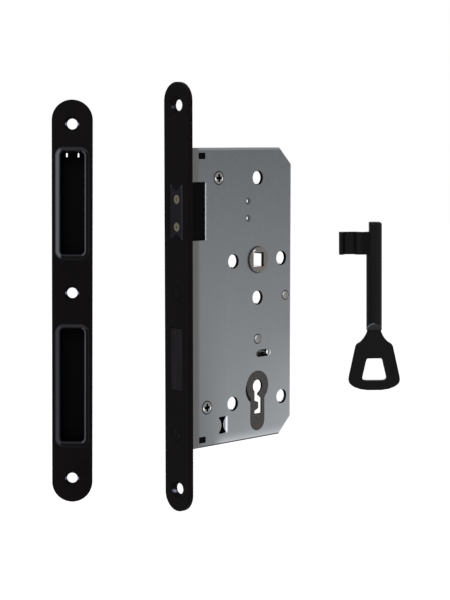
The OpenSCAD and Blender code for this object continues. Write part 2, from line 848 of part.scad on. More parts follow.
module tumbler_pivot() {
    color("silver") {
        pin_y(pivot_at, pivot_r, tumbler_y + slip, inner);
        pin_y(pivot_at, pivot_r + pivot_shoulder, tumbler_y + tumbler_t + slip, inner);
    }
}

module latch_head() {
    color("#232226")
    difference() {
        bar_x(0, latch_len) latch_outline(0);
        for (s = [-1, 1])
            pin_x(0, magnet_z + s * magnet_pitch / 2, magnet_d / 2 + slip,
                  -through, magnet_len + magnet_sink);
        block([latch_len - latch_tail_grip, latch_len + through],
              [-latch_tail_t / 2 - slip, latch_tail_t / 2 + slip],
              [latch_tail_z - slip, latch_tail_z + latch_tail_h + slip]);
    }
}

module latch_magnets() {
    color("#5f5c51")
    for (s = [-1, 1])
        difference() {
            pin_x(0, magnet_z + s * magnet_pitch / 2, magnet_d / 2, magnet_sink, magnet_len + magnet_sink);
            pin_x(0, magnet_z + s * magnet_pitch / 2, magnet_d / 6, 0, magnet_sink + 0.4);
        }
}

module latch_tail() {
    z1 = latch_tail_z + latch_tail_h;
    color("silver") {
        plate_y(-latch_tail_t / 2, latch_tail_t / 2)
            polygon([[latch_len - latch_tail_grip, latch_tail_z], [lug_x, latch_tail_z],
                     [lug_x, latch_tail_z - lug_drop + 1], [lug_x + 1, latch_tail_z - lug_drop],
                     [lug_x + lug_w, latch_tail_z - lug_drop], [lug_x + lug_w, z1 - lug_w],
                     [lug_x, z1], [tab_x + tab_w, z1],
                     [tab_x + tab_w, latch_spring_z + spring_plate_w / 2],
                     [tab_x, latch_spring_z + spring_plate_w / 2],
                     [tab_x, z1], [latch_len - latch_tail_grip, z1]]);
        block([tab_x, tab_x + tab_w], [-spring_plate_w / 2, spring_plate_w / 2],
              [latch_spring_z - spring_plate_w / 2, latch_spring_z + spring_plate_w / 2]);
    }
}

module latch_spring() {
    color("gainsboro")
    translate([housing_x1 + seat_gap, 0, latch_spring_z]) rotate([0, 90, 0])
        coil(latch_spring_r, 0.3, latch_spring_len - 2 * seat_gap, 9);
}

module follower() {
    tip = [-arm_reach * sin(arm_lean), arm_reach * cos(arm_lean)];
    across = [cos(arm_lean), sin(arm_lean)];
    root_w = collar_r * 0.6;
    tip_w = tip_r;
    color("#827a73")
    translate([backset, 0, 0])
    difference() {
        union() {
            pin_y([0, 0], journal_r, -half_t - journal_rise, half_t + journal_rise);
            pin_y([0, 0], collar_r, -inner + seat_gap, inner - seat_gap);
            plate_y(-arm_t / 2, arm_t / 2) {
                polygon([-root_w * across, root_w * across, tip + tip_w * across, tip - tip_w * across]);
                translate(tip) circle(r = tip_r);
                translate([spring_lug_x0, -spring_lug_h / 2])
                    square([spring_lug_x1 - spring_lug_x0, spring_lug_h]);
            }
        }
        block([-spindle_hole / 2, spindle_hole / 2], [-half_t - 2 * through, half_t + 2 * through],
              [-spindle_hole / 2, spindle_hole / 2]);
    }
}

module follower_spring() {
    color("gainsboro")
    translate([follower_spring_x, 0, -spring_lug_h / 2 - follower_spring_len + seat_gap])
        coil(1.9, 0.3, follower_spring_len - 2 * seat_gap, 7);
}

module deadbolt_head() {
    color("#262426")
    difference() {
        block([0, bolt_len], [-bolt_t / 2, bolt_t / 2], [bolt_bottom, bolt_top]);
        block([bolt_tail_x0 - slip, bolt_len + through], [-tail_t / 2 - slip, tail_t / 2 + slip],
              [bolt_tail_bottom - slip, bolt_tail_top + slip]);
        for (z = bolt_rivets_z)
            pin_y([bolt_len - bolt_tail_grip / 2, z], rivet_r + slip, -bolt_t, bolt_t);
    }
}

module deadbolt_tail() {
    talon_x = backset + bolt_throw / 2;
    color("silver")
    difference() {
        plate_y(-tail_t / 2, tail_t / 2)
            difference() {
                translate([bolt_tail_x0, bolt_tail_bottom])
                    square([bolt_tail_x1 - bolt_tail_x0, bolt_tail_top - bolt_tail_bottom]);
                slot_x(2 * guide_slot_r, guide_at[0] - guide_slot_r,
                       guide_at[0] + bolt_throw + guide_slot_r, guide_at[1]);
                polygon([[talon_x - talon_w / 2 - 1, bolt_tail_bottom - slip],
                         [talon_x - talon_w / 2, talon_top], [talon_x + talon_w / 2, talon_top],
                         [talon_x + talon_w / 2 + 1, bolt_tail_bottom - slip]]);
                for (x = [nose_x, nose_x + bolt_throw])
                    polygon([[x - nose_half - nose_play, bolt_tail_top + slip],
                             [x, bolt_tail_top - nose_depth],
                             [x + nose_half + nose_play, bolt_tail_top + slip]]);
            }
        for (z = bolt_rivets_z)
            pin_y([bolt_len - bolt_tail_grip / 2, z], rivet_r + slip, -bolt_t, bolt_t);
        pin_y(stump_at, stump_d / 3 + slip, -bolt_t, bolt_t);
    }
}

module deadbolt_rivets() {
    color("silver")
    for (z = bolt_rivets_z)
        pin_y([bolt_len - bolt_tail_grip / 2, z], rivet_r, -bolt_t / 2, bolt_t / 2);
}

module bolt_stump() {
    color("white") {
        pin_y(stump_at, stump_d / 2, -inner + 0.6, -tail_t / 2);
        pin_y(stump_at, stump_d / 3, -tail_t / 2 - slip, tail_t / 2);
    }
}

// Lever: an eye at the pivot, a plate over the guide pin, a belly above the key and a bent nose
module tumbler() {
    swing = (pivot_at[0] - guide_at[0]) * sin(tumbler_lift);
    left = nose_x - nose_half;
    crown_x = pivot_at[0] - crown_back;
    color("#9a9a92") {
        plate_y(tumbler_y, tumbler_y + tumbler_t)
            difference() {
                union() {
                    translate(pivot_at) circle(r = eye_r);
                    translate([backset, belly_z]) circle(r = belly_r);
                    polygon([[left, nose_top], [crown_x, nose_top],
                             [pivot_at[0], pivot_at[1] + eye_r], [pivot_at[0], pivot_at[1] - eye_r],
                             [backset + belly_r, belly_z], [backset - belly_r, belly_z],
                             [left, bolt_tail_top]]);
                }
                translate(pivot_at) circle(r = pivot_r + slip);
                translate([guide_at[0], 0])
                    stadium(2 * pin_r + 2 * guide_room, guide_at[1] - swing - pin_r - guide_room,
                            guide_at[1] + pin_r + guide_room);
            }
        plate_y(-tail_t / 2 + nose_play, tumbler_y + slip)
            polygon([[left, nose_top], [left, bolt_tail_top + plate_gap],
                     [nose_x, bolt_tail_top + plate_gap - nose_depth],
                     [nose_x + nose_half, bolt_tail_top + plate_gap], [nose_x + nose_half, nose_top]]);
    }
}

module tumbler_spring() {
    color("gainsboro")
    translate([tumbler_spring_x, tumbler_y + tumbler_t / 2, nose_top + seat_gap])
        coil(1.5, 0.25, tumbler_spring_len - 2 * seat_gap, 6);
}

// Puts a piece drawn facing -Y at a place of the set, leant and turned to the side that it is shown from
module set_place(x, y, z, lean) {
    translate([x, y, z]) rotate([0, lean, -set_turn]) children();
}

module strike_place() {
    set_place(strike_x, strike_y, strike_top_z, strike_lean) children();
}

// Funnel with a rolled lip, for an opening w by h whose top is at z1:
// each ring is a rounded rectangle that shrinks along a quarter circle
module funnel(w, h, z1) {
    steps = 7;
    arc = 6;
    corner = 2.2;
    quarter = 90;
    function grow(k) = lip_r * (1 - sin(quarter * k / steps));
    function ring(k, y) = let(g = grow(k), r = corner + g, a = w / 2 + g - r, b = h / 2 + g - r)
        [for (q = [0 : 3], i = [0 : arc])
            let(t = quarter * (q + i / arc), sx = (q == 0 || q == 3) ? 1 : -1, sz = q < 2 ? 1 : -1)
            [sx * a + r * cos(t), y, z1 - h / 2 + sz * b + r * sin(t)]];
    n = 4 * (arc + 1);
    levels = concat([[0, -through]], [for (k = [0 : steps]) [k, lip_r * (1 - cos(quarter * k / steps))]],
                    [[steps, strike_t + through]]);
    points = [for (l = levels) each ring(l[0], l[1])];
    walls = [for (j = [0 : len(levels) - 2], k = [0 : n - 1])
        let(a = j * n + k, b = j * n + (k + 1) % n) each [[a, b, a + n], [b, b + n, a + n]]];
    first = [for (k = [n - 1 : -1 : 0]) k];
    last = [for (k = [0 : n - 1]) (len(levels) - 1) * n + k];
    polyhedron(points = points, faces = concat(walls, [first, last]));
}

module strike_plate() {
    strike_place()
    color("#1b191b")
    difference() {
        rotate([0, 0, 90]) mirror([1, 0, 0]) mirror([0, 1, 0]) rotate([0, 0, 180])
            faced_plate(strike_w, -strike_len, 0, strike_t, forend_chamfer);
        funnel(recess_w, latch_recess_h, -latch_recess_drop);
        funnel(recess_w, bolt_recess_h, -bolt_recess_drop);
        for (z = [-strike_hole_inset, -strike_mid_drop, -strike_len + strike_hole_inset]) {
            pin_y([0, z], strike_hole_d / 2, -through, strike_t + through);
            cone_y([0, z], strike_hole_d / 2 + strike_sink, strike_hole_d / 2, -slip, strike_sink);
        }
    }
}

// Open box behind an opening h high whose top is at z1
module strike_box(h, z1) {
    half_w = recess_w / 2 + box_play;
    z0 = z1 - h;
    back = strike_t + box_depth;
    color("#121112")
    difference() {
        block([-half_w - box_wall, half_w + box_wall], [strike_t, back],
              [z0 - box_play - box_wall, z1 + box_play + box_wall]);
        block([-half_w, half_w], [strike_t - through, back - box_wall],
              [z0 - box_play, z1 + box_play]);
    }
}

module strike_latch_box() {
    strike_place() strike_box(latch_recess_h, -latch_recess_drop);
}

module strike_bolt_box() {
    strike_place() strike_box(bolt_recess_h, -bolt_recess_drop);
}

// Bar magnet behind the latch box, level with the latch's own magnets
module strike_magnet() {
    z = -latch_recess_drop - latch_recess_h / 2;
    back = strike_t + box_depth;
    strike_place() color("#2a292b")
        block([-magnet_bar_w / 2, magnet_bar_w / 2], [back, back + magnet_bar_t],
              [z - magnet_bar_h / 2, z + magnet_bar_h / 2]);
}

// Two bright spring clips at the top of the latch box: a tongue in front, a strip to the box's back
module strike_clips() {
    z = -latch_recess_drop - clip_drop;
    front = strike_t + clip_inset;
    strike_place() color("white")
        for (x = clips_x) {
            block([x, x + clip_w], [front, front + clip_t], [z - clip_len, z]);
            block([x, x + clip_w], [front, strike_t + box_depth - box_wall], [z - clip_t, z]);
        }
}

// Outline from half a shape, moved in by i and mirrored about the axis
module bow_half_pair(shape, i) {
    right = [for (p = shape) [bow_w / 2 * p[0] - i, p[1] + i * (1 - p[1] / 10)]];
    left = [for (k = [len(right) - 1 : -1 : 0]) [-right[k][0], right[k][1]]];
    polygon(concat(right, left));
}

// One-piece warded key, bow down, bit to the left
module key() {
    bit_top = key_len - bit_inset;
    bevel = 0.45;
    r = shaft_d / 2;
    shaft_z = bow_len - 0.8;
    cut_angle = 40;
    tip_len = 1.1;
    flat_sink = 1.3;
    flat_rise = 0.5;
    set_place(key_x, key_y, key_z, key_lean) color("#171617") {
        difference() {
            union() {
                plate_y(-bow_t / 2 + bevel, bow_t / 2 - bevel) bow_half_pair(bow_shape, 0);
                plate_y(-bow_t / 2, bow_t / 2) bow_half_pair(bow_shape, bevel);
            }
            plate_y(-bow_t, bow_t) bow_half_pair(window_shape, 0);
        }
        difference() {
            rotate_extrude()
                polygon([[0, shaft_z], [r, shaft_z], [r, key_len - tip_len],
                         [r - tip_len / 4, key_len - tip_len / 3], [r - tip_len, key_len], [0, key_len]]);
            for (s = [-1, 1])
                translate([0, s * (bow_t / 2 - 0.1), shaft_z]) rotate([-s * cut_angle, 0, 0])
                    translate([-shaft_d, s > 0 ? 0 : -shaft_d, -shaft_d])
                        cube([2 * shaft_d, shaft_d, 2 * shaft_d]);
            block([-shaft_d, -r + flat_sink], [-shaft_d, shaft_d],
                  [bit_top - bit_w + flat_rise, key_len + through]);
        }
        translate([0, 0, bit_top - bit_w]) rotate([0, 0, -90])
            linear_extrude(bit_w) mirror([1, 0]) bit_section(0);
    }
}

case_tray();
cover_plate();
cover_posts();
cover_screws();
spacer_rivet();
bolt_guide_pin();
through_sleeves();
forend_plate();
forend_lugs();
forend_screw();
latch_housing();
keyhole_insert();
insert_screw();
tumbler_pivot();
latch_head();
latch_magnets();
latch_tail();
latch_spring();
follower();
follower_spring();
deadbolt_head();
deadbolt_tail();
deadbolt_rivets();
bolt_stump();
tumbler();
tumbler_spring();
strike_plate();
strike_latch_box();
strike_bolt_box();
strike_magnet();
strike_clips();
key();
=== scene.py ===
"""Dresses a magnetic mortise lock, its strike plate and its key, and sets them on a plain stage."""

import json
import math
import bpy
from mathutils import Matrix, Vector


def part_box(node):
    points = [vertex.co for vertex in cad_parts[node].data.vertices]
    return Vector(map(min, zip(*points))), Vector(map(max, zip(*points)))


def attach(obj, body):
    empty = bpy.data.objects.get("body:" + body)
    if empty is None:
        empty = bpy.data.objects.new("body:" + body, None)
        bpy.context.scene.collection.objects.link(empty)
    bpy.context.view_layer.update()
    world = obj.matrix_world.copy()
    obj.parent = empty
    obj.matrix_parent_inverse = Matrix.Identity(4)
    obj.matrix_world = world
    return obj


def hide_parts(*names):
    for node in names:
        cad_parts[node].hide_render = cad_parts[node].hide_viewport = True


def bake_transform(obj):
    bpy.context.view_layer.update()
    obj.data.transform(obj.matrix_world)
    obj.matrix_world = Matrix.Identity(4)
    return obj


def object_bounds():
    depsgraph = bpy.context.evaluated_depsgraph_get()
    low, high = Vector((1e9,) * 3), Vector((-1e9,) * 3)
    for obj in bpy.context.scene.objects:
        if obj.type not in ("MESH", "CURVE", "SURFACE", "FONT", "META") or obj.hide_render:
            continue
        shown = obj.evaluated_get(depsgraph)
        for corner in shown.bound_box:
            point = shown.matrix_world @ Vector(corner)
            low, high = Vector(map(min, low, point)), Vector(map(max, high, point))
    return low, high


bl_info = {
    "name": "Magnetic mortise lock",
    "version": (1, 0, 0),
    "blender": (4, 5, 0),
    "location": "View3D > Sidebar > Lock",
    "description": "Finishes, fine surfaces and stage for a mortise lock with strike plate and key",
    "category": "Object",
}

import bpy
import numpy as np

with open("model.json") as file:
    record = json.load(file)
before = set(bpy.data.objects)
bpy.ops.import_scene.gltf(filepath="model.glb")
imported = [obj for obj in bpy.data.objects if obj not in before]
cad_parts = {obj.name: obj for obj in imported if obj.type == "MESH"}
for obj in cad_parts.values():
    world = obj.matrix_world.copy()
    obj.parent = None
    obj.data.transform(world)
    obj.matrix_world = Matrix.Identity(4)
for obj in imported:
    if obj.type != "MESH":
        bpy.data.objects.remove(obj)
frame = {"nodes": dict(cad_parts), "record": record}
CAD_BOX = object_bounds()
MOUNTS = {mount["name"]: mount["pos_m"] for mount in frame["record"]["mounts"]}
SPINDLE = MOUNTS["spindle"]
KEY_AXIS = MOUNTS["key_entry"]


# Lengths in metres that recur below

SHEET = 0.0011  # thickness of the case's sheet
BORDER = 0.002  # border of the cover in which there is no hole
SKIN = 0.00006  # depth below a face at which the painted shade and highlights of its walls begin
CUT = 0.00003  # softness of paint that ends at a cut edge
INSIDE = 0.01  # a depth well within the case
SCREW_HEAD = 0.00365  # radius of a cover screw's head
HALF_SQUARE = 0.0042  # half the spindle hole's width, with a little to spare
FOREND_END = 0.0125  # from the forend's end to its screw hole
RECESS_CORNER = 0.0022  # corner radius of the strike plate's openings


# Gloss that recurs below

BLACK_GLOSS = 0.02  # specular level of the black coats, which reflect a white room
POLISH = 0.05  # roughness of the polished bores


# Sizes and colours that a user would change


def colour(name, description, rgb):
    """A colour property from red, green and blue as they show on a screen, 0 to 255."""
    linear = [((c / 255 + 0.055) / 1.055) ** 2.4 if c > 10 else c / 255 / 12.92 for c in rgb]
    return bpy.props.FloatVectorProperty(
        name=name, description=description, default=linear, size=3, min=0, max=1, subtype="COLOR"
    )


def share(name, description, value):
    """A property from 0 to 1."""
    return bpy.props.FloatProperty(
        name=name, description=description, default=value, min=0, max=1, subtype="FACTOR"
    )


def angle(name, description, degrees):
    """An angle property, its default given in degrees."""
    turn = math.radians(degrees)
    return bpy.props.FloatProperty(
        name=name, description=description, default=turn, subtype="ANGLE", unit="ROTATION"
    )


def length(name, description, metres):
    """A length property."""
    return bpy.props.FloatProperty(
        name=name, description=description, default=metres, unit="LENGTH"
    )


def point(name, description, place):
    """A property for a point in the frame."""
    return bpy.props.FloatVectorProperty(
        name=name, description=description, default=place, subtype="TRANSLATION", unit="LENGTH"
    )


class LockFinishes(bpy.types.PropertyGroup):
    """Colours and roughness of the lock's finishes, and colours of painted light and shade on them."""

    coat: colour("Black coat", "Powder coat of forend, strike plate and key", (13, 11, 12))
    # painted sheen on the strike's lips, on the side that faces the light
    lip: colour("Lip", "Side of the strike's rolled lips that faces the light", (104, 106, 112))
    # painted sheen on the lower recess's lips, and a painted reflection in the forend's upper
    # countersink
    dim_painted_sheen: colour("Lower lip", "The same side on the bolt's recess", (62, 63, 69))
    # faint painted sheen on the upper and lower lips, and painted light in the forend screws' recesses
    faint_painted_sheen: colour("Top lip", "Upper and lower lips", (47, 47, 51))
    # painted highlight on the inner line of the far lips
    painted_lip_highlight: colour("Lip line", "Rubbed inner line of the far lips", (92, 93, 99))
    # also a painted highlight on the left edge of the key's bow end
    zinc: colour("Zinc", "Galvanised sheet at the case's top", (101, 105, 108))
    # painted sheen that lightens the sheet towards the bottom
    painted_sheen_low: colour("Lower zinc", "The sheet's sheen at the case's bottom", (137, 141, 144))
    # painted sheen in the sheet's lower rear corner
    painted_sheen_corner: colour("Corner zinc", "The sheen in the lower rear corner", (150, 154, 157))
    # painted highlight on the bevel along the case's top
    painted_bevel_highlight: colour("Edge zinc", "Bevel along the case's top", (133, 137, 140))
    # painted shade on the sheet beside the forend, towards the bottom
    painted_shade_near_forend: colour("Dull zinc", "The sheet beside the forend, towards the bottom", (111, 115, 118))
    # painted highlight band above the sheet's lower border
    painted_highlight_band: colour("Glowing zinc", "The bright band above the lower border", (180, 184, 188))
    # painted shade: the strip beside the forend, the rims of the dimples and a thin arc on the pins
    strip: colour("Strip", "Rolled strip of the cover beside the forend", (98, 98, 97))
    # painted shade along the sheet's lower border
    seam: colour("Seam", "Lower border of the sheet", (66, 68, 70))
    # painted highlights on cut edges that face the light
    edge: colour("Cut edge", "Sheared edges that face the light", (226, 232, 238))
    # painted reflections in the countersinks
    painted_countersink_reflection: colour("Halo", "Reflections in the countersinks", (140, 142, 168))
    shade: colour("Shade", "Walls of holes, gaps and slots", (9, 9, 10))
    glint: colour("Glint", "Small reflections on screws, pins and dimples", (232, 234, 236))
    bright: colour("Bright zinc", "Sleeves, clips and the bolt's stump", (254, 254, 254))
    # also painted light on the follower's shaded side
    steel: colour("Steel", "Pins, posts, tails and levers", (130, 132, 130))
    nickel: colour("Nickel", "Cover screws", (124, 124, 122))
    # also the painted shade in the rings round the pins, the cover screws and the follower
    insert: colour("Insert", "Die-cast keyhole insert", (58, 55, 52))
    follower: colour("Follower", "Die-cast follower", (110, 105, 101))
    latch: colour("Latch", "Face of the latch", (24, 23, 27))
    # painted highlight along the latch's near side and the top of its face
    rim: colour("Latch rim", "Rubbed rim of the latch", (56, 54, 64))
    # also a painted highlight on the key's shaft
    bolt: colour("Deadbolt", "Face of the deadbolt", (24, 22, 24))
    magnet: colour("Magnet", "Plated magnets", (98, 94, 80))
    # also painted shade on the key's shaft and round the end of its bow
    plastic: colour("Plastic", "Black plastic of housing, lugs and boxes", (7, 6, 7))
    key: colour("Key", "Black coat of the key", (16, 15, 16))
    # painted sheen on the rounded end of the bow
    painted_arc_sheen: colour("Key cuts", "Round end of the bow on the key's shaft", (44, 44, 44))
    coat_roughness: share("Coat roughness", "Roughness of the powder coat", 0.42)
    sheet_roughness: share("Sheet roughness", "Roughness of the galvanised sheet", 0.46)


class LockSet(bpy.types.PropertyGroup):
    """Where the strike plate and the key stand beside the lock, and how their surfaces lie."""

    turn: angle("Turn", "Turn of strike plate and key", -43.8)
    strike_top: point("Strike top", "Top end of the strike plate", (-0.0044, 0.084, 0.0901))
    strike_lean: angle("Strike lean", "Lean of the strike plate", 0.55)
    key_end: point("Key end", "Bow end of the key", (-0.0351, -0.1724, -0.0452))
    key_lean: angle("Key lean", "Lean of the key", -0.55)
    recess_half: length("Recess half width", "Half the width of the strike's openings", 0.007)
    lip_radius: length("Lip radius", "Radius of the rolled lip round them", 0.00285)


class LockView(bpy.types.PropertyGroup):
    """Place of the camera and strength of the light."""

    place: point("Place", "Where the camera stands", (-0.57486, -0.63831, 0.06828))
    heading: angle("Heading", "Turn from +Y towards +X", 43.77)
    pitch: angle("Pitch", "Angle above the horizon", -5.843)
    lens: bpy.props.FloatProperty(
        name="Lens", description="Focal length on a 36 mm sensor", default=95.15, unit="CAMERA"
    )
    floor_drop: length("Floor drop", "Gap between the set's lowest point and the floor", 0.05)
    ambient: bpy.props.FloatProperty(
        name="Ambient", description="Strength of the light from all round", default=0.62, min=0
    )


# Materials


class Surface:
    """A principled material with short names for the nodes that it needs."""

    def __init__(self, name, base, metallic, roughness, specular=0.5):
        self.material = bpy.data.materials.new(name)
        self.material.use_nodes = True
        self.tree = self.material.node_tree
        self.shader = self.tree.nodes["Principled BSDF"]
        self.base = (*base, 1)
        self.shader.inputs["Base Color"].default_value = self.base
        self.shader.inputs["Metallic"].default_value = metallic
        self.shader.inputs["Roughness"].default_value = roughness
        self.shader.inputs["Specular IOR Level"].default_value = specular
        self.coordinates = self.tree.nodes.new("ShaderNodeTexCoord")
        self.normal = None

    def node(self, kind, **inputs):
        """A new node with its inputs set, where From_Min stands for the input From Min."""
        made = self.tree.nodes.new(kind)
        for key, value in inputs.items():
            made.inputs[key.replace("_", " ")].default_value = value
        return made

    def link(self, a, out, b, into):
        """Links an output of one node with an input of another."""
        self.tree.links.new(a.outputs[out], b.inputs[into])

    def noise(self, scale, detail, stretch=(1, 1, 1)):
        """Cloudy pattern with about scale clouds in a metre, fewer along an axis with a factor
        below 1."""
        mapping = self.node("ShaderNodeMapping", Scale=stretch)
        self.link(self.coordinates, "Object", mapping, "Vector")
        made = self.node("ShaderNodeTexNoise", Scale=scale, Detail=detail)
        self.link(mapping, "Vector", made, "Vector")
        return made

    def cells(self, scale):
        """Pattern of cells, about scale of them in a metre."""
        made = self.node("ShaderNodeTexVoronoi", Scale=scale)
        self.link(self.coordinates, "Object", made, "Vector")
        return made

    def span(self, source, out, low, high):
        """Values from 0.3 to 0.7 of a pattern spread from low to high."""
        made = self.node("ShaderNodeMapRange", From_Min=0.3, From_Max=0.7, To_Min=low, To_Max=high)
        self.link(source, out, made, "Value")
        return made

    def vary_colour(self, source, out, amount):
        """Lightens and darkens the base colour by a share of itself."""
        factor = self.span(source, out, 1 - amount, 1 + amount)
        tint = self.node("ShaderNodeVectorMath", Vector=self.base[:3])
        tint.operation = "SCALE"
        self.link(factor, "Result", tint, "Scale")
        self.link(tint, "Vector", self.shader, "Base Color")

    def vary_roughness(self, source, out, low, high):
        """Lets the roughness follow a pattern from low to high."""
        self.link(self.span(source, out, low, high), "Result", self.shader, "Roughness")

    def place(self, centre=(0, 0, 0), turn=0.0, lean=0.0):
        """Object coordinates seen from a point, after undoing a lean about Y and a turn about Z."""
        mapping = self.node("ShaderNodeMapping", Location=centre, Rotation=(0, lean, turn))
        mapping.vector_type = "TEXTURE"
        self.link(self.coordinates, "Object", mapping, "Vector")
        return mapping

    def mask(self, ranges, soft, place=None, outline=()):
        """1 inside ranges of X, Y, Z, or of D, the distance outside an outline round the place's
        Y axis, with soft borders. Without an outline, D is the distance from that axis."""
        place = place or self.place()
        parts = self.node("ShaderNodeSeparateXYZ")
        self.link(place, "Vector", parts, "Vector")
        product = None
        for axis, ends in ranges.items():
            source, out = (self.distance(place, *outline), 0) if axis == "D" else (parts, axis)
            for end, sign in zip(ends, (1, -1)):
                low, high = end - sign * soft, end + sign * soft
                border = self.node("ShaderNodeMapRange", From_Min=low, From_Max=high)
                self.link(source, out, border, "Value")
                product = self.times(product, border) if product else border
        return product

    def distance(self, place, width=0.0, height=0.0, corner=0.0, drop=0.0):
        """Distance in X and Z outside a rectangle with rounded corners: the length of what its
        inner rectangle leaves of the two offsets from its middle, less the corners' radius."""
        reach = place
        for operation, amount in (
            ("ADD", (0, 0, drop)),
            ("MULTIPLY", (1, 0, 1)),
            ("ABSOLUTE", None),
            ("SUBTRACT", (width / 2 - corner, 0, height / 2 - corner)),
            ("MAXIMUM", (0, 0, 0)),
            ("LENGTH", None),
        ):
            step = self.node("ShaderNodeVectorMath")
            step.operation = operation
            self.link(reach, 0, step, 0)
            if amount:
                step.inputs[1].default_value = amount
            reach = step
        less = self.node("ShaderNodeMath")
        less.operation = "SUBTRACT"
        less.inputs[1].default_value = corner
        self.link(reach, "Value", less, 0)
        return less

    def times(self, a, b):
        """Product of the first outputs of two nodes."""
        product = self.node("ShaderNodeMath")
        product.operation = "MULTIPLY"
        self.link(a, 0, product, 0)
        self.link(b, 0, product, 1)
        return product

    def ramp(self, axis, start, end):
        """A share that grows from 0 at start to 1 at end along an axis."""
        parts = self.node("ShaderNodeSeparateXYZ")
        self.link(self.coordinates, "Object", parts, "Vector")
        made = self.node("ShaderNodeMapRange", From_Min=start, From_Max=end)
        self.link(parts, axis, made, "Value")
        return made

    def paint(self, mask, rgb):
        """Carries the base colour over to another one where the mask is 1."""
        self.blend("Base Color", mask, rgb)

    def touch(self, rgb, place=None, outline=(), soft=0.0001, **ranges):
        """Paints a colour inside ranges, which are those of mask()."""
        mask = self.mask(ranges, soft, place, outline)
        self.paint(mask, rgb)
        return mask

    def blend(self, socket, mask, value):
        """Carries one of the shader's inputs over to another value where the mask is 1."""
        target = self.shader.inputs[socket]
        mixer = self.node("ShaderNodeMix")
        flat = isinstance(value, (int, float))
        mixer.data_type = "FLOAT" if flat else "RGBA"
        a, b, out = (2, 3, 0) if flat else (6, 7, 2)
        mixer.inputs[b].default_value = value if flat else (*value, 1)
        if target.links:
            self.tree.links.new(target.links[0].from_socket, mixer.inputs[a])
        else:
            mixer.inputs[a].default_value = target.default_value
        self.link(mask, 0, mixer, 0)
        self.tree.links.new(mixer.outputs[out], target)

    def soften_edges(self, radius):
        """Rounds the look of sharp edges."""
        edge = self.node("ShaderNodeBevel", Radius=radius)
        edge.samples = 6
        self.normal = edge
        self.link(edge, "Normal", self.shader, "Normal")

    def flatten(self, factors, lean):
        """Scales the normals by axis, so that a small bore reflects as evenly as a flat wall, and
        leans them back, so that its mirror image comes from straight behind it."""
        scaled = self.node("ShaderNodeVectorMath")
        scaled.operation = "MULTIPLY_ADD"
        scaled.inputs[1].default_value = factors
        scaled.inputs[2].default_value = lean
        unit = self.node("ShaderNodeVectorMath")
        unit.operation = "NORMALIZE"
        self.link(self.normal, "Normal", scaled, 0)
        self.link(scaled, "Vector", unit, 0)
        self.link(unit, "Vector", self.shader, "Normal")

    def bump(self, source, out, height, strength):
        """Raises a pattern by its height, on top of the softened edges."""
        made = self.node("ShaderNodeBump", Strength=strength, Distance=height)
        self.link(source, out, made, "Height")
        if self.normal:
            self.link(self.normal, "Normal", made, "Normal")
        self.normal = made
        self.link(made, "Normal", self.shader, "Normal")


def powder_coat(name, base, roughness, specular=BLACK_GLOSS):
    """Fine orange peel over a satin black, with soft edges."""
    made = Surface(name, base, 0, roughness, specular)
    peel = made.noise(scale=1500, detail=4)
    patch = made.noise(scale=60, detail=2)
    made.vary_colour(patch, "Fac", amount=0.12)
    made.vary_roughness(patch, "Fac", roughness - 0.04, roughness + 0.05)
    made.soften_edges(radius=0.0005)
    made.bump(peel, "Fac", height=0.00004, strength=0.35)
    return made


def galvanised(name, base, roughness):
    """Rolled sheet with a faint spangle and fine lines along the case's height."""
    made = Surface(name, base, 1, roughness)
    spangle = made.cells(scale=260)
    lines = made.noise(scale=900, detail=3, stretch=(1, 1, 0.04))
    made.vary_colour(spangle, "Distance", amount=0.02)
    made.vary_roughness(lines, "Fac", roughness - 0.02, roughness + 0.02)
    made.soften_edges(radius=0.0004)
    made.bump(lines, "Fac", height=0.000004, strength=0.2)
    return made


def drawn_metal(name, base, roughness):
    """Turned or drawn metal: bright, with fine lines round and along it."""
    made = Surface(name, base, 1, roughness)
    lines = made.noise(scale=1300, detail=2, stretch=(1, 0.15, 1))
    made.vary_colour(lines, "Fac", amount=0.05)
    made.vary_roughness(lines, "Fac", roughness - 0.04, roughness + 0.06)
    made.soften_edges(radius=0.0002)
    made.bump(lines, "Fac", height=0.000006, strength=0.3)
    return made


def die_cast(name, base, metallic, roughness):
    """Cast metal: small pits and a mottled skin."""
    made = Surface(name, base, metallic, roughness)
    skin = made.noise(scale=420, detail=5)
    pits = made.noise(scale=1800, detail=3)
    made.vary_colour(skin, "Fac", amount=0.07)
    made.vary_roughness(skin, "Fac", roughness - 0.06, roughness + 0.06)
    made.soften_edges(radius=0.0003)
    made.bump(pits, "Fac", height=0.00002, strength=0.35)
    return made


def moulded_plastic(name, base, roughness):
    """Moulded plastic with an even fine grain."""
    made = Surface(name, base, 0, roughness, BLACK_GLOSS)
    grain = made.noise(scale=2400, detail=2)
    made.vary_colour(grain, "Fac", amount=0.1)
    made.vary_roughness(grain, "Fac", roughness - 0.05, roughness + 0.05)
    made.bump(grain, "Fac", height=0.00002, strength=0.3)
    return made


def mirror_bore(name, base):
    """Drawn bore, polished, with a breath of haze along it."""
    made = Surface(name, base, 1, POLISH)
    haze = made.noise(scale=300, detail=2)
    made.vary_roughness(haze, "Fac", 0.8 * POLISH, 1.2 * POLISH)
    made.soften_edges(radius=0.0001)
    made.flatten(factors=(1, 1, 0.05), lean=(0, 0.3, 0))
    return made


def put_on(surface, *nodes):
    """Gives a material to CAD nodes, in place of what they came with."""
    for node in nodes:
        mesh = frame["nodes"][node].data
        mesh.materials.clear()
        mesh.materials.append(surface.material)


# Meshes


def tube_sides(rings, sides):
    """Quads of a tube: each joins two neighbours on a ring with the same two on the next ring."""
    i, k = np.meshgrid(np.arange(rings - 1) * sides, np.arange(sides), indexing="ij")
    n = (k + 1) % sides
    quads = np.stack([i + k, i + sides + k, i + sides + n, i + n], axis=-1)
    return quads.reshape(-1, 4).tolist()


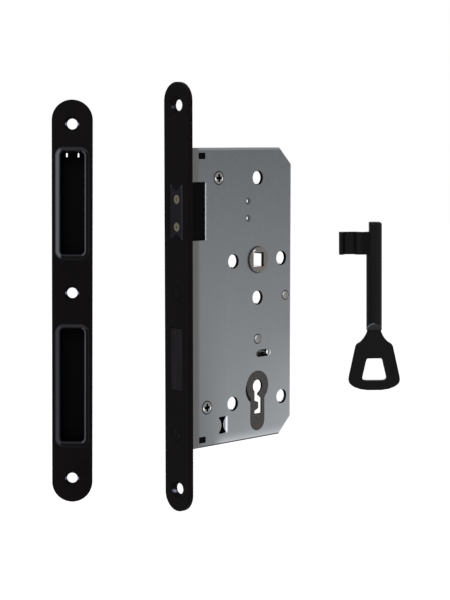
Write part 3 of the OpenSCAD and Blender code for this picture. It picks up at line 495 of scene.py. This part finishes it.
def tube_ends(rings, sides):
    """The two faces that close a tube: its first ring, and its last one the other way round."""
    last = (rings - 1) * sides
    return [list(range(sides)), [last + k for k in reversed(range(sides))]]


def new_piece(context, name, points, faces, material):
    """A mesh object at the origin from an array of points, with one material."""
    mesh = bpy.data.meshes.new(name)
    mesh.from_pydata(points.reshape(-1, 3).tolist(), [], faces)
    mesh.materials.append(material)
    made = bpy.data.objects.new(name, mesh)
    context.collection.objects.link(made)
    return made


def middle(node):
    """Middle of a CAD node's box."""
    low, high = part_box(node)
    return tuple((low + high) / 2)


# Pieces


class LOCK_OT_case(bpy.types.Operator):
    """Finishes the case: sheet, pins, posts, screws, sleeves and insert"""

    bl_idname = "lock.case"
    bl_label = "Case"

    def execute(self, context):
        finish = context.scene.lock_finishes
        self.sheet(finish)
        self.pins(finish)
        self.screws(finish)
        put_on(mirror_bore("bright_zinc", finish.bright), "through_sleeves")
        self.keyhole(finish)
        put_on(moulded_plastic("black_plastic", finish.plastic, 0.5), "forend_lugs", "latch_housing")
        return {"FINISHED"}

    def sheet(self, finish):
        """Galvanised sheet with painted sheen, painted shade in its holes, painted highlights on its
        cut edges, and two dimples.
        """
        low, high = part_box("cover_plate")
        made = galvanised("zinc_sheet", finish.zinc, finish.sheet_roughness)
        self.sheen(made, finish, low, high)
        self.holes(made, finish, low, high)
        for height in (0.0331, 0.0235):
            self.dimple(made, finish, (SPINDLE[0] - 0.0076, 0, height))
        put_on(made, "case_tray", "cover_plate")

    def sheen(self, made, finish, low, high):
        """Painted light and shade on the sheet: a painted sheen that grows downwards and into the
        lower rear corner, painted shade beside the forend, a painted highlight on the bevel at the
        top, a painted highlight band that ends in a dark border of painted shade at the bottom, and a
        darker strip of painted shade beside the forend."""
        bottom, top = low.z, high.z
        # painted sheen: the sheet lighter towards the bottom
        made.paint(made.ramp("Z", top, bottom), finish.painted_sheen_low)
        # painted sheen in the lower rear corner
        rearwards = made.ramp("X", SPINDLE[0] - 0.015, high.x)
        downwards = made.ramp("Z", -0.04, bottom)
        made.paint(made.times(rearwards, downwards), finish.painted_sheen_corner)
        # painted shade beside the forend, towards the bottom
        forwards = made.ramp("X", 0.032, 0.012)
        downwards = made.ramp("Z", 0.02, bottom)
        made.paint(made.times(forwards, downwards), finish.painted_shade_near_forend)
        # painted highlight band that ends in a border of painted shade at the bottom
        seam = 0.0008
        band = made.ramp("Z", bottom + 0.0068, bottom + seam)
        past_forend = made.ramp("X", 0.021, 0.028)
        made.paint(made.times(made.times(band, band), past_forend), finish.painted_highlight_band)
        # painted highlight on the top bevel, and painted shade along the bottom border
        made.touch(finish.painted_bevel_highlight, soft=0.0003, Z=(top - 0.0012, top + 0.001))
        made.touch(finish.seam, soft=0.0002, Z=(bottom - 0.001, bottom + seam))
        # painted shade on the strip beside the forend
        made.touch(finish.strip, soft=0.0011, X=(0.0, 0.0098))

    def holes(self, made, finish, low, high):
        """Painted shade on the walls of every hole, and painted highlights on the cut edges where a
        hole's wall faces the light. The hourglass also gets a painted highlight on its inner side
        behind its neck."""
        face, back = low.y, low.y + SHEET
        front_area = {"X": (0.0125, 0.0715), "Z": (low.z + BORDER, high.z - BORDER)}
        rear_area = {"X": (0.07, high.x - BORDER), "Z": (-0.092, 0.053)}
        # painted shade on the walls of the holes
        for area in (front_area, rear_area):
            made.touch(finish.shade, soft=CUT, **area, Y=(face + SKIN, back))
        latch_window = {"X": (0.0149, 0.0157), "Z": (0.0124, 0.0446)}
        hourglass = {"X": (0.0281, 0.0306), "Z": (-0.0960, -0.0860)}
        oblong_slot = {"X": (0.0637, 0.0662), "Z": (-0.0557, -0.0511)}
        # painted highlights on the cut edges that face the light
        for area, depth in ((latch_window, SHEET), (hourglass, 0.0004), (oblong_slot, SHEET)):
            cut = made.touch(finish.edge, soft=CUT, **area, Y=(face + SKIN, face + depth))
            made.blend("Metallic", cut, 0.0)
        # painted highlight on the hourglass's inner side
        inner_side = {"X": (0.0298, 0.0314), "Z": (-0.0955, -0.0865)}
        made.touch(finish.edge, soft=0.0003, **inner_side, Y=(face - 0.001, back))

    def dimple(self, made, finish, centre):
        """Pressed dimple: a darker rim of painted shade, open to the left, round a small painted
        highlight on its floor.
        """
        place = made.place(centre)
        # painted shade on the rim and a painted highlight on the floor
        made.touch(finish.strip, place, soft=0.0003, D=(0.0013, 0.0018), X=(-0.0009, 0.003))
        made.touch(finish.glint, place, soft=0.0003, D=(-1, 0.0009), X=(-0.0009, 0.0005))

    def pins(self, finish):
        """Riveted pins with a dark rim of painted shade, a painted highlight at its upper left and
        a thin arc of painted shade on the right.
        """
        made = drawn_metal("pin_steel", finish.steel, 0.34)
        for node in ("spacer_rivet", "bolt_guide_pin"):
            place = made.place(middle(node))
            # painted shade in a dark ring, a painted highlight at the upper left and a thin arc of
            # painted shade
            made.touch(finish.insert, place, soft=0.00015, D=(0.0023, 0.0029))
            spark = {"D": (0.0017, 0.0022), "X": (-0.003, -0.0008), "Z": (0.0, 0.002)}
            made.touch(finish.glint, place, soft=0.0003, **spark)
            made.touch(finish.strip, place, soft=0.0002, D=(0.0009, 0.0013), X=(0, 0.002))
        put_on(made, "spacer_rivet", "bolt_guide_pin", "cover_posts", "tumbler_pivot")

    def screws(self, finish):
        """Domed heads with painted shade in the recess and in a dark rim, and a painted highlight
        on either side.
        """
        low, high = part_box("cover_screws")
        recess = low.y + 0.0004
        made = drawn_metal("nickel", finish.nickel, 0.24)
        # painted shade in the cross recess and below it
        made.touch(finish.shade, soft=0.00005, Y=(recess, 0))
        upper = (high.x - SCREW_HEAD, 0, high.z - SCREW_HEAD)
        lower = (low.x + SCREW_HEAD, 0, low.z + SCREW_HEAD)
        for centre in (upper, lower):
            place = made.place(centre)
            # painted shade in a ring round each head and painted highlights on either side
            made.touch(finish.insert, place, soft=0.0001, D=(SCREW_HEAD - 0.0005, SCREW_HEAD + 0.001))
            spark = {"D": (0.0022, 0.003), "Z": (-0.0014, 0.0003), "Y": (-0.009, recess)}
            made.touch(finish.glint, place, soft=0.0002, **spark)
        put_on(made, "cover_screws")

    def keyhole(self, finish):
        """Mottled insert, with painted shade on the walls just below its face."""
        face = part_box("keyhole_insert")[0].y
        made = die_cast("insert_bronze", finish.insert, 0.55, 0.45)
        made.vary_colour(made.noise(scale=650, detail=4), "Fac", amount=0.22)
        # painted shade on the walls below the face
        made.touch(finish.shade, soft=CUT, Y=(face + SKIN, face + 0.0012))
        put_on(made, "keyhole_insert")


class LOCK_OT_shutter(bpy.types.Operator):
    """Bright dust shutter just inside the keyhole"""

    bl_idname = "lock.shutter"
    bl_label = "Keyhole shutter"

    def execute(self, context):
        zinc = mirror_bore("shutter_zinc", context.scene.lock_finishes.bright)
        points, faces = self.strip(front=-0.0071, back=-0.0068)
        made = new_piece(context, "keyhole_shutter", points, faces, zinc.material)
        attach(made, "case")
        return {"FINISHED"}

    def strip(self, front, back, rows=120):
        """Closed strip that fills the keyhole: in each row its two ends are the wider of the round
        part's half chord and the slot's side, which runs straight between its corners."""
        radius, depth = 0.0036, 0.0157
        drop = np.linspace(-radius, depth, rows)
        chord = np.sqrt(np.maximum(radius ** 2 - drop ** 2, 0))

        corners = (0, 0.0081, 0.0093, 0.0127, 0.0141, depth)
        side = (0.0023, 0.0023, -0.0005, -0.0005, 0.0023, 0.0023)
        left = np.maximum(chord, np.interp(drop, corners, side, left=0))

        corners = (0, 0.0023, 0.0049, 0.0072, depth)
        side = (0.0023, 0.0023, 0.0001, 0.003, 0.003)
        right = np.maximum(0.8 * chord, np.interp(drop, corners, side, left=0))

        x = KEY_AXIS[0] + np.stack([-left, right, right, -left], axis=1)
        y = np.broadcast_to((front, front, back, back), x.shape)
        z = KEY_AXIS[2] - np.repeat(drop[:, None], 4, axis=1)
        return np.stack([x, y, z], axis=-1), tube_sides(rows, 4) + tube_ends(rows, 4)


class LOCK_OT_springs(bpy.types.Operator):
    """Coil springs between the case and what they push"""

    bl_idname = "lock.springs"
    bl_label = "Springs"

    def execute(self, context):
        wire = drawn_metal("spring_wire", context.scene.lock_finishes.steel, 0.28)
        for node, body, turns, thick in (
            ("latch_spring", "latch", 9, 0.0006),
            ("follower_spring", "follower_hub", 7, 0.0006),
            ("tumbler_spring", "tumbler_lever", 6, 0.0005),
        ):
            low, high = (np.array(corner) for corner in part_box(node))
            axis = int(np.argmax(high - low))
            points, faces = self.coil(low, high, axis, turns, thick / 2)
            made = new_piece(context, node + "_coil", points, faces, wire.material)
            made.data.shade_smooth()
            put_on(wire, node)
            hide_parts(node)
            near, far = (low + high) / 2, (low + high) / 2
            near[axis], far[axis] = low[axis], high[axis]
            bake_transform(made)
        return {"FINISHED"}

    def coil(self, low, high, axis, turns, wire, steps=24, sides=8):
        """Tube round a helix: its middle goes round the box's long axis, and rises evenly but for a
        flat turn at either end. Each ring lies in the plane of the radius and the axis."""
        a, b = (axis + 1) % 3, (axis + 2) % 3
        centre = (low + high) / 2
        radius = (high - low)[a] / 2 - wire
        t = np.linspace(0, 1, turns * steps + 1)
        turn, ring = 2 * np.pi * turns * t, 2 * np.pi * np.arange(sides) / sides
        ground = 1 / turns
        rise = np.clip((t - ground / 2) / (1 - ground), 0, 1)
        out = radius + wire * np.cos(ring)
        points = np.empty((len(t), sides, 3))
        points[..., a] = centre[a] + np.cos(turn)[:, None] * out
        points[..., b] = centre[b] + np.sin(turn)[:, None] * out
        level = low[axis] + wire + rise * ((high - low)[axis] - 2 * wire)
        points[..., axis] = level[:, None] + wire * np.sin(ring)
        return points, tube_sides(len(t), sides) + tube_ends(len(t), sides)


class LOCK_OT_forend(bpy.types.Operator):
    """Coats the forend and its screws, with painted reflections in the countersinks and painted light
    in the screws' recesses
    """

    bl_idname = "lock.forend"
    bl_label = "Forend"

    def execute(self, context):
        finish = context.scene.lock_finishes
        low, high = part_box("forend_plate")
        made = powder_coat("forend_coat", finish.coat, finish.coat_roughness)
        # painted reflections in the two countersinks
        for z, drop, tone in (
            (high.z - FOREND_END, 0.0009, finish.dim_painted_sheen),
            (low.z + FOREND_END, 0.0017, finish.painted_countersink_reflection),
        ):
            place = made.place((0, 0, z), math.radians(90))
            glow = {"D": (0.003, 0.0043), "X": (0.0020, 0.006), "Z": (-drop - 0.0006, 0.0006 - drop)}
            made.touch(tone, place, soft=0.0005, **glow)
        put_on(made, "forend_plate")
        made = powder_coat("screw_coat", finish.coat, finish.coat_roughness)
        # painted light in the screws' cross recesses
        made.touch(finish.faint_painted_sheen, soft=0.0001, X=(0.0002, 0.004))
        put_on(made, "forend_screw", "insert_screw")
        return {"FINISHED"}


class LOCK_OT_latch(bpy.types.Operator):
    """Finishes the latch, its magnets and tail, and the follower"""

    bl_idname = "lock.latch"
    bl_label = "Latch and follower"

    def execute(self, context):
        finish = context.scene.lock_finishes
        put_on(self.head(finish), "latch_head")
        put_on(drawn_metal("magnet_plate", finish.magnet, 0.3), "latch_magnets")
        put_on(drawn_metal("tail_steel", finish.steel, 0.36), "latch_tail")
        put_on(self.hub(finish), "follower")
        return {"FINISHED"}

    def head(self, finish):
        """Coated latch, with a painted highlight along the near side and the top of its face."""
        low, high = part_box("latch_head")
        made = powder_coat("latch_coat", finish.latch, 0.38, specular=0.03)
        face = (-0.001, 0.0006)
        # painted highlights along the near side and the top of the face
        made.touch(finish.rim, soft=0.0001, X=face, Y=(low.y - 0.0002, low.y + 0.0004))
        made.touch(finish.rim, soft=0.0003, X=face, Z=(high.z - 0.0011, high.z + 0.001))
        return made

    def hub(self, finish):
        """Cast follower with painted light on its shaded side, a line of painted shade and a painted
        highlight on its rim, and a square hole with painted shade at its mouth and along its top,
        polished further in."""
        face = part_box("follower")[0].y
        mouth, polished = face + 0.0001, face + 0.0021
        square = (-HALF_SQUARE, HALF_SQUARE)
        made = die_cast("follower_zinc", finish.follower, 0.8, 0.42)
        place = made.place(SPINDLE)
        # painted light on the hub's shaded side
        made.touch(finish.steel, place, soft=0.0001, D=(0.007, 0.02), Y=(mouth, -0.0072))
        # painted shade in a dark line on the left of the rim, then a painted highlight on the rim
        made.touch(finish.insert, place, soft=0.0003, D=(0.0071, 0.0078), X=(-0.009, 0.0015))
        spark = {"D": (0.0059, 0.0066), "X": (-0.0044, -0.0026), "Z": (0.003, 0.007)}
        made.touch(finish.glint, place, soft=0.0003, **spark)
        # painted shade at the square hole's mouth and along its top
        made.touch(finish.shade, place, soft=0.00005, X=square, Z=square, Y=(mouth, INSIDE))
        bore = {"X": square, "Z": (-HALF_SQUARE, 0.0031), "Y": (polished, INSIDE)}
        inside = made.touch(finish.bright, place, soft=0.00005, **bore)
        made.blend("Metallic", inside, 1.0)
        made.blend("Roughness", inside, POLISH)
        return made


class LOCK_OT_deadbolt(bpy.types.Operator):
    """Finishes the deadbolt, its tail, its stump and the tumbler"""

    bl_idname = "lock.deadbolt"
    bl_label = "Deadbolt and tumbler"

    def execute(self, context):
        finish = context.scene.lock_finishes
        bolt = powder_coat("bolt_coat", finish.bolt, 0.4, specular=0.03)
        streaks = bolt.noise(scale=700, detail=3, stretch=(1, 1, 0.05))
        bolt.vary_colour(streaks, "Fac", amount=0.3)
        steel = drawn_metal("bolt_steel", finish.steel, 0.36)
        put_on(bolt, "deadbolt_head")
        put_on(steel, "deadbolt_tail", "deadbolt_rivets", "tumbler")
        put_on(drawn_metal("stump_zinc", finish.bright, 0.28), "bolt_stump")
        return {"FINISHED"}


class LOCK_OT_strike(bpy.types.Operator):
    """Finishes the strike plate, its boxes, magnet and clips"""

    bl_idname = "lock.strike"
    bl_label = "Strike plate"

    def execute(self, context):
        finish, stand = context.scene.lock_finishes, context.scene.lock_set
        made = powder_coat("strike_coat", finish.coat, finish.coat_roughness)
        # painted sheen on the lips of both recesses
        self.lip(made, finish, stand, drop=0.030, height=0.0592, near=finish.lip)
        self.lip(made, finish, stand, drop=0.1327, height=0.0667, near=finish.dim_painted_sheen)
        self.countersinks(made, finish, stand)
        put_on(made, "strike_plate")
        box = moulded_plastic("box_plastic", finish.plastic, 0.55)
        put_on(box, "strike_latch_box", "strike_bolt_box")
        put_on(moulded_plastic("magnet_cover", finish.plastic, 0.45), "strike_magnet")
        put_on(drawn_metal("clip_zinc", finish.bright, 0.25), "strike_clips")
        return {"FINISHED"}

    def lip(self, made, finish, stand, drop, height, near):
        """Painted sheen on the rolled lip of a recess that starts a drop below the plate's top: broad
        on the near side, which faces the light, and thin above, below and on the far side, where
        the inner line gets a painted highlight."""
        place = made.place(stand.strike_top, stand.turn, stand.strike_lean)
        r, side = stand.lip_radius, stand.recess_half + 0.5 * stand.lip_radius
        centre = drop + height / 2
        outline = (2 * stand.recess_half, height, RECESS_CORNER, centre)
        bottom, top = -centre - height / 2 - 2 * r, -centre + height / 2 + 2 * r
        front = {"Y": (-0.001, 0.0029)}
        rolled = {"D": (0.3 * r, 0.95 * r), **front}
        inner_painted_highlight = {"D": (0, 0.3 * r), **front}
        far_side = {"X": (side - r, side + r)}
        below = {"Z": (bottom, bottom + 2 * r)}
        near_side = {"D": (0.15 * r, 0.8 * r), **front, "X": (-side - r, -side + 0.6 * r)}
        # painted sheen and painted highlights on the bands of the lip, with plain coat between
        for ranges, soft, tone in (
            (rolled, 0.0005, finish.faint_painted_sheen),
            ({**rolled, **far_side, "Z": (bottom, top - 2 * r)}, 0.0006, finish.coat),
            ({**rolled, **below}, 0.0003, finish.coat),
            ({**inner_painted_highlight, **below}, 0.00015, finish.faint_painted_sheen),
            ({**inner_painted_highlight, **far_side}, 0.00015, finish.painted_lip_highlight),
            (near_side, 0.0006, near),
        ):
            made.touch(tone, place, outline, soft, **ranges)

    def countersinks(self, made, finish, stand):
        """Painted reflections to the left and right of each screw hole."""
        glow = {"D": (0.0028, 0.0039), "Z": (-0.0008, 0.0008), "Y": (-0.004, 0.004)}
        for name in ("strike_hole_top", "strike_hole_middle", "strike_hole_bottom"):
            place = made.place(MOUNTS[name], stand.turn, stand.strike_lean)
            # painted reflections in the countersink
            made.touch(finish.painted_countersink_reflection, place, soft=0.0003, **glow)


class LOCK_OT_key(bpy.types.Operator):
    """Coats the key"""

    bl_idname = "lock.key"
    bl_label = "Key"

    def execute(self, context):
        finish, stand = context.scene.lock_finishes, context.scene.lock_set
        made = powder_coat("key_coat", finish.key, 0.36, specular=0.05)
        self.shaft(made, finish, stand)
        self.arc(made, finish, stand)
        put_on(made, "key")
        return {"FINISHED"}

    def shaft(self, made, finish, stand):
        """Shaft with painted shade along its left side and a painted highlight line to the right of
        its middle.
        """
        place = made.place(stand.key_end, stand.turn, stand.key_lean)
        along = {"Z": (0.0306, 0.09), "Y": (-0.004, 0.004)}
        # painted shade on the left side and a painted highlight right of the middle
        made.touch(finish.plastic, place, soft=0.0008, X=(-0.006, -0.0019), **along)
        made.touch(finish.bolt, place, soft=0.0008, X=(0.0005, 0.0023), **along)

    def arc(self, made, finish, stand):
        """Rounded end of the bow on the shaft: a line of painted shade round it, a painted sheen on
        its face and a painted highlight on its left edge. It is seen from its middle, a rise along
        the leaning shaft from the key's end."""
        rise = 0.0271
        shift = math.sin(stand.key_lean) * rise
        end = stand.key_end
        centre = (
            end[0] + shift * math.cos(stand.turn),
            end[1] + shift * math.sin(stand.turn),
            end[2] + rise,
        )
        front = {"Z": (0.0004, 0.004), "Y": (-0.004, -0.0005)}
        # painted shade round the bow's end, painted sheen on its face, painted highlight on its left
        # edge
        for ranges, tone in (
            ({"D": (-1, 0.00385)}, finish.plastic),
            ({"D": (-1, 0.0035)}, finish.painted_arc_sheen),
            ({"D": (0.0033, 0.0036), "X": (-0.0034, 0)}, finish.zinc),
        ):
            place = made.place(centre, stand.turn, stand.key_lean)
            made.touch(tone, place, soft=0.0001, **front, **ranges)


# Stage


def disc(radius, height, rings=24, spokes=96):
    """Flat disc: ring number times spoke angle, the rings evenly spaced along the radius, and one
    face inside the first ring."""
    reach = np.linspace(0, 1, rings + 1)[1:] * radius
    r, a = np.meshgrid(reach, np.arange(spokes) * 2 * np.pi / spokes, indexing="ij")
    points = np.stack([r * np.cos(a), r * np.sin(a), np.full_like(r, height)], axis=-1)
    return points, tube_sides(rings, spokes) + [list(range(spokes))]


def lamp(context, name, place, aim, size, power):
    """Round lamp that points at an aim."""
    light = bpy.data.lights.new(name, "AREA")
    light.shape = "DISK"
    light.size = size
    light.energy = power
    made = bpy.data.objects.new(name, light)
    made.location = place
    direction = np.subtract(aim, place)
    x, y, z = direction
    tilt = math.acos(-z / np.linalg.norm(direction))
    made.rotation_euler = (tilt, 0, math.atan2(y, x) - math.pi / 2)
    context.collection.objects.link(made)


def light_share(tree):
    """1 for rays from the camera, off gloss or through glass, 0 for the rest."""
    path = tree.nodes.new("ShaderNodeLightPath")
    first = tree.nodes.new("ShaderNodeMath")
    second = tree.nodes.new("ShaderNodeMath")
    first.operation = second.operation = "MAXIMUM"
    tree.links.new(path.outputs["Is Camera Ray"], first.inputs[0])
    tree.links.new(path.outputs["Is Glossy Ray"], first.inputs[1])
    tree.links.new(first.outputs[0], second.inputs[0])
    tree.links.new(path.outputs["Is Transmission Ray"], second.inputs[1])
    return second


class LOCK_OT_stage(bpy.types.Operator):
    """Floor, world, lamps and camera"""

    bl_idname = "lock.stage"
    bl_label = "Stage"

    def execute(self, context):
        view = context.scene.lock_view
        context.scene.view_settings.view_transform = "Standard"
        self.floor(context, CAD_BOX[0][2] - view.floor_drop)
        self.world(context, view.ambient)
        aim = (0.04, 0.0, -0.02)
        lamp(context, "front_lamp", (-1.0, -0.7, 0.7), aim, size=0.7, power=9)
        lamp(context, "low_lamp", (1.0, -1.0, -0.45), aim, size=0.5, power=5)
        self.camera(context, view)
        return {"FINISHED"}

    def floor(self, context, height):
        """White paper that is a little bright by itself, so that only the set's shadow shows on it."""
        material = bpy.data.materials.new("floor_paper")
        material.use_nodes = True
        tree = material.node_tree
        shader = tree.nodes["Principled BSDF"]
        shader.inputs["Base Color"].default_value = (0.85, 0.85, 0.85, 1)
        shader.inputs["Roughness"].default_value = 0.9
        shader.inputs["Specular IOR Level"].default_value = 0.1
        shader.inputs["Emission Color"].default_value = (1, 1, 1, 1)
        scale = tree.nodes.new("ShaderNodeMath")
        scale.operation = "MULTIPLY"
        scale.inputs[1].default_value = 0.5
        tree.links.new(light_share(tree).outputs[0], scale.inputs[0])
        tree.links.new(scale.outputs[0], shader.inputs["Emission Strength"])
        points, faces = disc(4.0, height)
        floor = new_piece(context, "floor", points, faces, material)

    def world(self, context, ambient):
        """White all round: at full strength where it is seen, and at the ambient strength as light."""
        world = bpy.data.worlds.new("studio")
        world.use_nodes = True
        context.scene.world = world
        tree = world.node_tree
        sky = tree.nodes["Background"]
        sky.inputs["Color"].default_value = (1, 1, 1, 1)
        strength = tree.nodes.new("ShaderNodeMapRange")
        strength.inputs["To Min"].default_value = ambient
        strength.inputs["To Max"].default_value = 1
        tree.links.new(light_share(tree).outputs[0], strength.inputs["Value"])
        tree.links.new(strength.outputs["Result"], sky.inputs["Strength"])

    def camera(self, context, view):
        """Camera at the photograph's viewing angle."""
        camera = bpy.data.objects.new("camera", bpy.data.cameras.new("camera"))
        camera.data.lens = view.lens
        camera.data.sensor_width = 36
        camera.location = view.place
        camera.rotation_euler = (math.pi / 2 + view.pitch, 0, -view.heading)
        context.collection.objects.link(camera)
        context.scene.camera = camera


# Panel and run


PIECES = (
    LOCK_OT_case,
    LOCK_OT_shutter,
    LOCK_OT_springs,
    LOCK_OT_forend,
    LOCK_OT_latch,
    LOCK_OT_deadbolt,
    LOCK_OT_strike,
    LOCK_OT_key,
    LOCK_OT_stage,
)


class LOCK_PT_panel(bpy.types.Panel):
    """Lists the finishes, the view and the pieces"""

    bl_label = "Mortise lock"
    bl_idname = "LOCK_PT_panel"
    bl_space_type = "VIEW_3D"
    bl_region_type = "UI"
    bl_category = "Lock"

    def draw(self, context):
        scene = context.scene
        for group in (scene.lock_finishes, scene.lock_set, scene.lock_view):
            box = self.layout.box()
            for key in group.bl_rna.properties.keys():
                if key not in ("rna_type", "name"):
                    box.prop(group, key)
        for piece in PIECES:
            self.layout.operator(piece.bl_idname)


CLASSES = (LockFinishes, LockSet, LockView, *PIECES, LOCK_PT_panel)


def register():
    for cls in CLASSES:
        bpy.utils.register_class(cls)
    bpy.types.Scene.lock_finishes = bpy.props.PointerProperty(type=LockFinishes)
    bpy.types.Scene.lock_set = bpy.props.PointerProperty(type=LockSet)
    bpy.types.Scene.lock_view = bpy.props.PointerProperty(type=LockView)


def unregister():
    del bpy.types.Scene.lock_view
    del bpy.types.Scene.lock_set
    del bpy.types.Scene.lock_finishes
    for cls in reversed(CLASSES):
        bpy.utils.unregister_class(cls)


def main():
    register()
    for piece in PIECES:
        group, name = piece.bl_idname.split(".")
        getattr(getattr(bpy.ops, group), name)()


if __name__ == "__main__":
    main()
